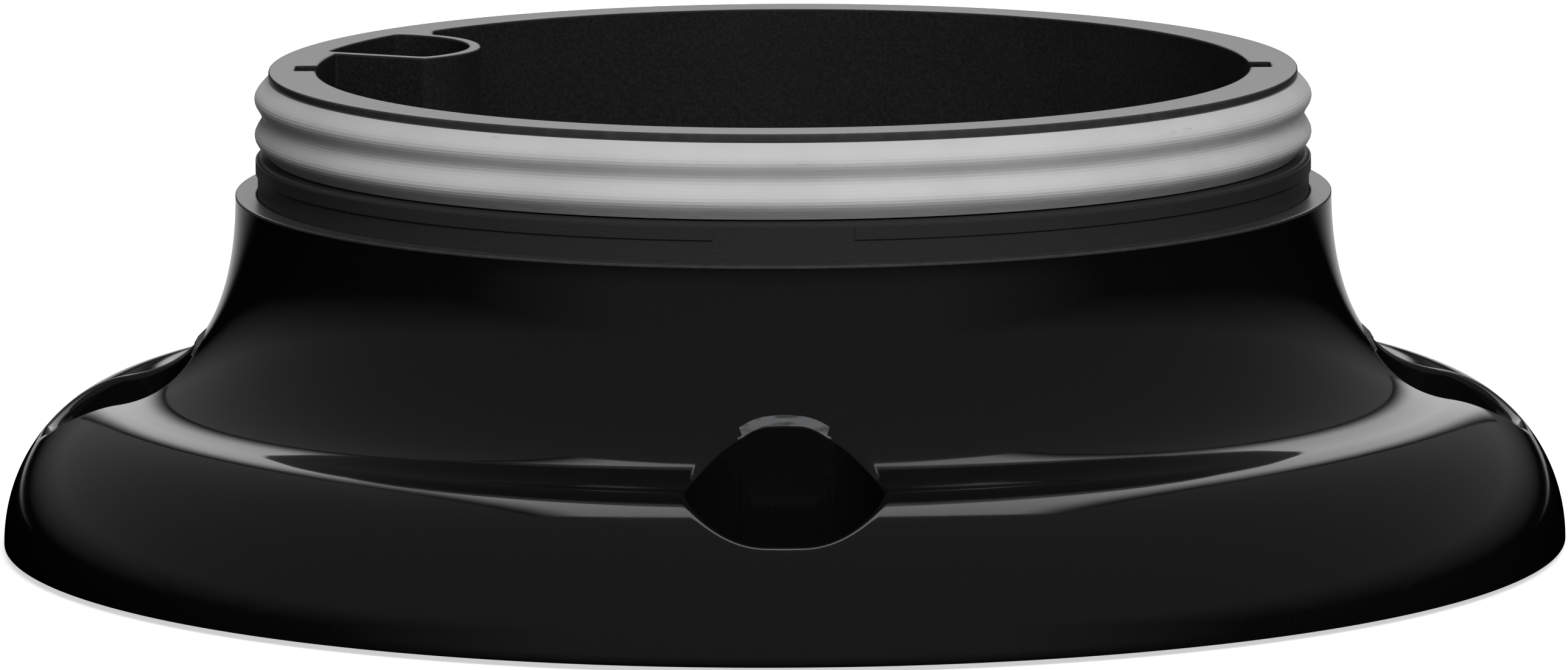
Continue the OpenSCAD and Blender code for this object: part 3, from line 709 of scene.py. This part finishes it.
def build_shroud():
    """Glossy shell: outer and inner skins, each in four quarters, joined at the foot and the ledge."""
    edge = 0.4
    first, last = edge, run[-1] - edge
    inner_first = run[inner_skin.height < ledge_z - 3.4][0]
    inner_last = run[inner_skin.height > stand_z + 0.6][-1]
    whole = Builder()
    outer, edge_faces = build_quarter(outer_skin, first, last, edge_reach, well_rings, 49)
    # the chamfer faces over the middle of the wall nearest the neck take the pale material, a painted
    # highlight of the glint there
    for i in edge_faces:
        x, y, _ = np.mean([outer.verts[v] for v in outer.faces[i]], axis=0)
        if x < WELL_PITCH_R and abs(y) < CHAMFER_HALF - 0.3:
            outer.slots[i] = 2
    inner, _ = build_quarter(inner_skin, inner_first, inner_last, cup_reach, cup_rings, 17)
    # the quarters begin at -45 degrees, so the turned rings share their points with them
    add_four(whole, outer)
    add_four(whole, inner)
    foot = rounded([outer_skin.at(last), [flange_r, stand_z], [flange_r - SHELL_T, stand_z],
                    inner_skin.at(inner_last)], 0.35)
    step = [[BAND_R + 0.1, ledge_z - 3], [BAND_R + 0.1, ledge_z - 1]]
    revolve(whole, foot)
    revolve(whole, [inner_skin.at(inner_first), [LEDGE_R - SHELL_T, ledge_z - 3], *step])
    ledge = rounded([step[-1], [BAND_R + 0.1, ledge_z], [LEDGE_R, ledge_z], outer_skin.at(first)], 0.35)
    revolve(whole, ledge, slot=1)
    verts, faces, slots = merged(np.array(whole.verts), whole.faces, whole.slots)
    materials = [finishes["shroud_black"], rim_face, painted_glint_edge]
    piece = make_piece("shroud_shell", verts, faces, materials, slots)
    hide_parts("flared_shroud")
    return piece


build_shroud()


# --- neck collar ----------------------------------------------------------------------------------


def arc(x, y, r, start, end, step_mm=0.25):
    """Points along an arc, from one angle to another in degrees."""
    count = max(2, int(abs(math.radians(end - start)) * r / step_mm))
    angles = np.radians(np.linspace(start, end, count))
    return [(x + r * math.cos(a), y + r * math.sin(a)) for a in angles]


def line_to_circle(x, y, angle, cx, cy, r, forward=True):
    """Where a line from (x, y) at an angle meets a circle."""
    ux, uy = math.cos(angle), math.sin(angle)
    dx, dy = x - cx, y - cy
    half = ux * dx + uy * dy
    root = math.sqrt(half * half - dx * dx - dy * dy + r * r)
    reach = -half + (root if forward else -root)
    return x + ux * reach, y + uy * reach


def soften(points, radius_mm=0.5, step_mm=0.22):
    """Resamples a closed outline evenly and rounds its corners."""
    loop = np.array(points + points[:1], float)
    run_at = np.concatenate([[0], np.cumsum(np.linalg.norm(np.diff(loop, axis=0), axis=1))])
    count = int(run_at[-1] / step_mm)
    at = np.linspace(0, run_at[-1], count + 1)[:-1]
    even = np.stack([np.interp(at, run_at, loop[:, 0]), np.interp(at, run_at, loop[:, 1])], 1)
    reach = int(3 * radius_mm / step_mm)
    weights = np.exp(-0.5 * (np.arange(-reach, reach + 1) * step_mm / radius_mm) ** 2)
    weights /= weights.sum()
    return sum(w * np.roll(even, k, axis=0) for k, w in zip(range(-reach, reach + 1), weights))


def offset_loop(loop, distance):
    """Moves a counter-clockwise outline outwards."""
    along = np.roll(loop, -1, axis=0) - np.roll(loop, 1, axis=0)
    along /= np.linalg.norm(along, axis=1)[:, None]
    return loop + distance * np.stack([along[:, 1], -along[:, 0]], 1)


def degrees(point, x=0.0, y=0.0):
    return math.degrees(math.atan2(point[1] - y, point[0] - x))


def throat_loop():
    """Outline of the throat: the bore with its two keyways, less the duct."""
    side = DUCT_SIDE["angle"]
    duct_high = (DUCT_FAR_X, math.sqrt(THROAT_R**2 - DUCT_FAR_X**2))
    far_reach = math.sqrt(DUCT["r"] ** 2 - (DUCT_FAR_X - DUCT["x"]) ** 2)
    duct_far = (DUCT_FAR_X, DUCT["y"] + far_reach)
    duct_near = line_to_circle(DUCT_SIDE["x"], DUCT_SIDE["y"], side, DUCT["x"], DUCT["y"], DUCT["r"])
    duct_low = line_to_circle(DUCT_SIDE["x"], DUCT_SIDE["y"], side + math.pi, 0, 0, THROAT_R)
    key_y = (-KEY_W / 2, KEY_W / 2)
    key_x = [math.sqrt(THROAT_R**2 - y * y) for y in key_y]
    points = arc(0, 0, THROAT_R, degrees((key_x[1], key_y[1])), degrees(duct_high))
    points += arc(DUCT["x"], DUCT["y"], DUCT["r"], degrees(duct_far, DUCT["x"], DUCT["y"]),
                  degrees(duct_near, DUCT["x"], DUCT["y"]))
    points += arc(0, 0, THROAT_R, degrees(duct_low), degrees((-key_x[1], key_y[1])))
    points += [(-KEY_R, key_y[1]), (-KEY_R, key_y[0])]
    points += arc(0, 0, THROAT_R, degrees((-key_x[0], key_y[0])) + 360, degrees((key_x[0], key_y[0])) + 360)
    points += [(KEY_R, key_y[0]), (KEY_R, key_y[1])]
    return soften(points, 0.4)


def duct_loop():
    """Outline of the duct's inside."""
    side = DUCT_SIDE["angle"]
    inner_r = DUCT["r"] - DUCT["wall"]
    x = DUCT_SIDE["x"] - DUCT["wall"] * math.sin(side)
    y = DUCT_SIDE["y"] + DUCT["wall"] * math.cos(side)
    near = line_to_circle(x, y, side, DUCT["x"], DUCT["y"], inner_r)
    low = line_to_circle(x, y, side + math.pi, 0, 0, DUCT["outer"])
    span = math.hypot(DUCT["x"], DUCT["y"])
    chord = (DUCT["outer"] ** 2 - inner_r**2 + span**2) / (2 * span)
    half = math.sqrt(DUCT["outer"] ** 2 - chord**2)
    far = ((DUCT["x"] * chord + DUCT["y"] * half) / span,
           (DUCT["y"] * chord - DUCT["x"] * half) / span)
    points = arc(DUCT["x"], DUCT["y"], inner_r, degrees(near, DUCT["x"], DUCT["y"]),
                 degrees(far, DUCT["x"], DUCT["y"]))
    points += arc(0, 0, DUCT["outer"], degrees(far), degrees(low))
    return soften(points, 0.6)


def sink_wall(builder, loop, edge, floor_z, slot, outwards):
    """A soft top edge and a wall that goes down from the rim along a loop, returned as its rings."""
    loops = []
    for i in range(6):
        t = i / 5
        shift = edge * (1 - t) ** 2
        drop = edge * t * t
        flat = offset_loop(loop, outwards * shift)
        loops.append(np.column_stack([flat, np.full(len(flat), rim_z - drop)]))
    for z in np.linspace(rim_z - edge, floor_z, 9)[1:]:
        loops.append(np.column_stack([loop, np.full(len(loop), z)]))
    return builder.rings(loops[::-1], slot)[::-1]


def add_strip(builder, band_top):
    """Raised strip round the band, open at the front, with soft edges."""
    section = [[BAND_R - 0.5, band_top - 2.5], [BAND_R + 0.3, band_top - 2.5],
               [BAND_R + 0.3, band_top - 0.5], [BAND_R - 0.5, band_top - 0.5]]
    profile = np.array(rounded(section, 0.12))
    angles = np.radians(STRIP_START + np.linspace(0, STRIP_SPAN, 361))
    radius, height = profile.T
    indices = builder.rings([np.column_stack([radius * math.cos(a), radius * math.sin(a), height])
                             for a in angles])
    builder.cap(indices[0])
    builder.cap(indices[-1], flip=True)


def build_collar():
    """Matt collar: band, seal groove, lip, flat rim, throat with keyways, and duct."""
    collar = Builder()
    band_top = ledge_z + BAND_H
    lip_z = rim_z - LIP_H
    edge = 0.4
    foot_z = collar_low[2]
    seat_r = LEDGE_R - SHELL_T - 0.3
    band = rounded([[77.6, foot_z], [77.6, foot_z + 4], [74, foot_z + 4], [74, ledge_z - 10],
                    [seat_r, ledge_z - 6.3], [seat_r, ledge_z - 3], [BAND_R, ledge_z - 3],
                    [BAND_R, band_top], [GROOVE_R, band_top]], 0.7)
    lip = rounded([[GROOVE_R, band_top], [GROOVE_R, lip_z], [RIM_R, lip_z], [RIM_R, rim_z],
                   [RIM_R - 1, rim_z]], 0.35)[:-1]
    outer = revolve(collar, band, slot=0)
    upper = revolve(collar, lip, slot=1)
    throat = sink_wall(collar, throat_loop(), edge, foot_z, 2, 1)
    duct = sink_wall(collar, duct_loop(), 0.35, DUCT["floor"], 2, 1)
    collar.fill([upper[-1], throat[0], duct[0]], up=True, slot=1)
    collar.fill([outer[0], throat[-1]], up=False, slot=2)
    collar.cap(duct[-1], slot=2)
    add_strip(collar, band_top)
    verts, faces, slots = merged(np.array(collar.verts), collar.faces, collar.slots)
    materials = [finishes["collar_black"], rim_face, bore_face]
    piece = make_piece("collar_shell", verts, faces, materials, slots)
    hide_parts("neck_collar")
    return piece


build_collar()


# --- coil springs ---------------------------------------------------------------------------------


def build_coil(name, node, coils, wire_r):
    """A coil spring with closed ends in a CAD spring's box."""
    low, high = box_mm(node)
    x, y, _ = (low + high) / 2
    radius = (high[0] - low[0]) / 2 - wire_r
    bottom, top = low[2] + wire_r, high[2] - wire_r
    count = coils * 40
    turn = np.linspace(0, coils * TAU, count + 1)
    share = np.clip((turn / TAU - 0.8) / (coils - 1.6), 0, 1)
    lift = np.clip(turn / TAU / 0.8, 0, 1) + np.clip((turn / TAU - coils + 0.8) / 0.8, 0, 1)
    height = bottom + lift * wire_r + share * (top - bottom - 2 * wire_r)
    section = np.arange(10) * TAU / 10
    reach, rise = radius + wire_r * np.cos(section), wire_r * np.sin(section)
    coil = Builder()
    rings = coil.rings([np.column_stack([x + reach * math.cos(a), y + reach * math.sin(a), z + rise])
                        for a, z in zip(turn, height)])
    coil.cap(rings[0], flip=True)
    coil.cap(rings[-1])
    piece = make_piece(name, np.array(coil.verts), coil.faces, [finishes["spring_steel"]])
    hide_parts(node)
    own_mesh(piece)


build_coil("interlock_coil", "interlock_spring", 6, 0.45)
build_coil("reset_coil", "reset_spring", 5, 0.4)


# --- camera, floor and lights ---------------------------------------------------------------------


def add_camera():
    """Long lens about 9 degrees above the horizon, level with the middle of the unit."""
    data = bpy.data.cameras.new("camera")
    data.sensor_width = 36
    data.lens = 301.5
    data.clip_start = 0.05
    camera = bpy.data.objects.new("camera", data)
    bpy.context.scene.collection.objects.link(camera)
    distance = 1.938
    elevation = math.radians(9.328)
    base = Vector((0, 0, stand_z * MM))
    back, up = distance * math.cos(elevation), distance * math.sin(elevation)
    camera.location = base + Vector((0, -back, up))
    aim = base + Vector((0, 0, 0.0297))
    facing = (aim - camera.location).to_track_quat("-Z", "Y")
    camera.rotation_euler = (facing.to_matrix() @ Euler((0, 0, -0.0043)).to_matrix()).to_euler()
    bpy.context.scene.camera = camera


def add_plane(name, corners, material):
    """A flat part of the stage, which casts no light back by diffuse reflection."""
    mesh = bpy.data.meshes.new(name)
    mesh.from_pydata(corners, [], [(0, 1, 2, 3)])
    mesh.materials.append(material)
    plane = bpy.data.objects.new(name, mesh)
    bpy.context.scene.collection.objects.link(plane)
    plane.visible_diffuse = False
    return plane


def add_floor():
    """Pale paper that lies just under the feet."""
    half, z = 6.0, -0.0001
    paint = Paint("floor_paper", (0.86, 0.86, 0.86), 0.9)
    paint.shader.inputs["Emission Color"].default_value = (1, 1, 1, 1)
    paint.shader.inputs["Emission Strength"].default_value = 0.6
    paint.mottle(400, (0.84, 0.84, 0.84), amount=0.5)
    corners = [(-half, -half, z), (half, -half, z), (half, half, z), (-half, half, z)]
    floor = add_plane("floor", corners, paint.material)
    floor.visible_glossy = False


class Ramps:
    """Node helpers for a light whose strength depends on place or direction."""

    def __init__(self, tree, output):
        self.tree = tree
        place = tree.nodes.new("ShaderNodeTexCoord")
        split = tree.nodes.new("ShaderNodeSeparateXYZ")
        tree.links.new(place.outputs[output], split.inputs["Vector"])
        self.along = split.outputs

    def ramp(self, source, low, high, to_low, to_high, smooth=True):
        node = self.tree.nodes.new("ShaderNodeMapRange")
        if smooth:
            node.interpolation_type = "SMOOTHSTEP"
        for key, number in zip(("From Min", "From Max", "To Min", "To Max"), (low, high, to_low, to_high)):
            node.inputs[key].default_value = number
        self.tree.links.new(source, node.inputs["Value"])
        return node.outputs["Result"]

    def combine(self, operation, *sources):
        node = self.tree.nodes.new("ShaderNodeMath")
        node.operation = operation
        for source, socket in zip(sources, node.inputs):
            self.tree.links.new(source, socket)
        return node.outputs["Value"]


def glow_material(name, strength_of):
    """Light whose strength is worked out by strength_of from the place on the plane."""
    material = bpy.data.materials.new(name)
    material.use_nodes = True
    tree = material.node_tree
    tree.nodes.clear()
    glow = tree.nodes.new("ShaderNodeEmission")
    tree.links.new(strength_of(Ramps(tree, "Object")), glow.inputs["Strength"])
    out = tree.nodes.new("ShaderNodeOutputMaterial")
    tree.links.new(glow.outputs["Emission"], out.inputs["Surface"])
    return material


def add_arch():
    """Curved softbox that rises behind the object and over it, brightest overhead, with soft sides."""
    radius = 1.25
    half_width = 0.43
    rows, columns = 36, 12
    verts = []
    for angle in np.radians(np.linspace(9, 78, rows + 1)):
        for x in np.linspace(-half_width, half_width, columns + 1):
            verts.append((x, radius * math.cos(angle), 0.03 + radius * math.sin(angle)))
    faces = []
    for i in range(rows):
        for j in range(columns):
            a = i * (columns + 1) + j
            faces.append((a, a + 1, a + columns + 2, a + columns + 1))

    def strength(nodes):
        aside = nodes.combine("ABSOLUTE", nodes.along["X"])
        sides = nodes.ramp(aside, half_width * 0.72, half_width, 1, 0)
        return nodes.combine("MULTIPLY", sides, nodes.ramp(nodes.along["Z"], 0.3, 1.2, 1.15, 1.9))

    mesh = bpy.data.meshes.new("softbox")
    mesh.from_pydata(verts, [], faces)
    mesh.materials.append(glow_material("softbox_glow", strength))
    arch = bpy.data.objects.new("softbox", mesh)
    bpy.context.scene.collection.objects.link(arch)
    arch.location.x = 0.03
    arch.visible_camera = False


def add_floor_glow():
    """The lit part of the floor behind the object, as the gloss shows it."""
    def strength(nodes):
        return nodes.ramp(nodes.combine("ABSOLUTE", nodes.along["X"]), 0.1, 0.3, 0.55, 0)

    corners = [(-0.3, 0.2, 0.001), (0.3, 0.2, 0.001), (0.3, 1.6, 0.001), (-0.3, 1.6, 0.001)]
    plane = add_plane("floor_glow", corners, glow_material("floor_glow", strength))
    plane.visible_camera = False
    plane.visible_shadow = False


def add_area(name, place, aim, size, power):
    """A soft rectangular light that the gloss doesn't show."""
    data = bpy.data.lights.new(name, "AREA")
    data.shape = "RECTANGLE"
    data.size, data.size_y = size
    data.energy = power
    light = bpy.data.objects.new(name, data)
    bpy.context.scene.collection.objects.link(light)
    light.location = place
    light.rotation_euler = (Vector(aim) - Vector(place)).to_track_quat("-Z", "Y").to_euler()
    light.visible_glossy = False
    light.visible_camera = False


def add_world():
    """A dim room, dark below the horizon but for the side in front of the object."""
    world = bpy.data.worlds.new("studio")
    bpy.context.scene.world = world
    world.use_nodes = True
    background = world.node_tree.nodes["Background"]
    background.inputs["Color"].default_value = (1, 1, 1, 1)
    nodes = Ramps(world.node_tree, "Generated")
    height, depth = nodes.along["Z"], nodes.along["Y"]
    below = nodes.ramp(height, -0.16, -0.06, 0, 0.17, smooth=False)
    in_front = nodes.combine("MULTIPLY", below, nodes.ramp(depth, -0.35, -0.85, 0, 1, smooth=False))
    room = nodes.ramp(height, 0.02, 0.2, 0, 0.17, smooth=False)
    world.node_tree.links.new(nodes.combine("MAXIMUM", room, in_front), background.inputs["Strength"])


bpy.context.scene.view_settings.view_transform = "Standard"
add_camera()
add_floor()
add_arch()
add_floor_glow()
add_area("front_fill", (0.4, -2.15, 1.5), (0, 0, 0.04), (1.6, 1.0), 58)
add_world()
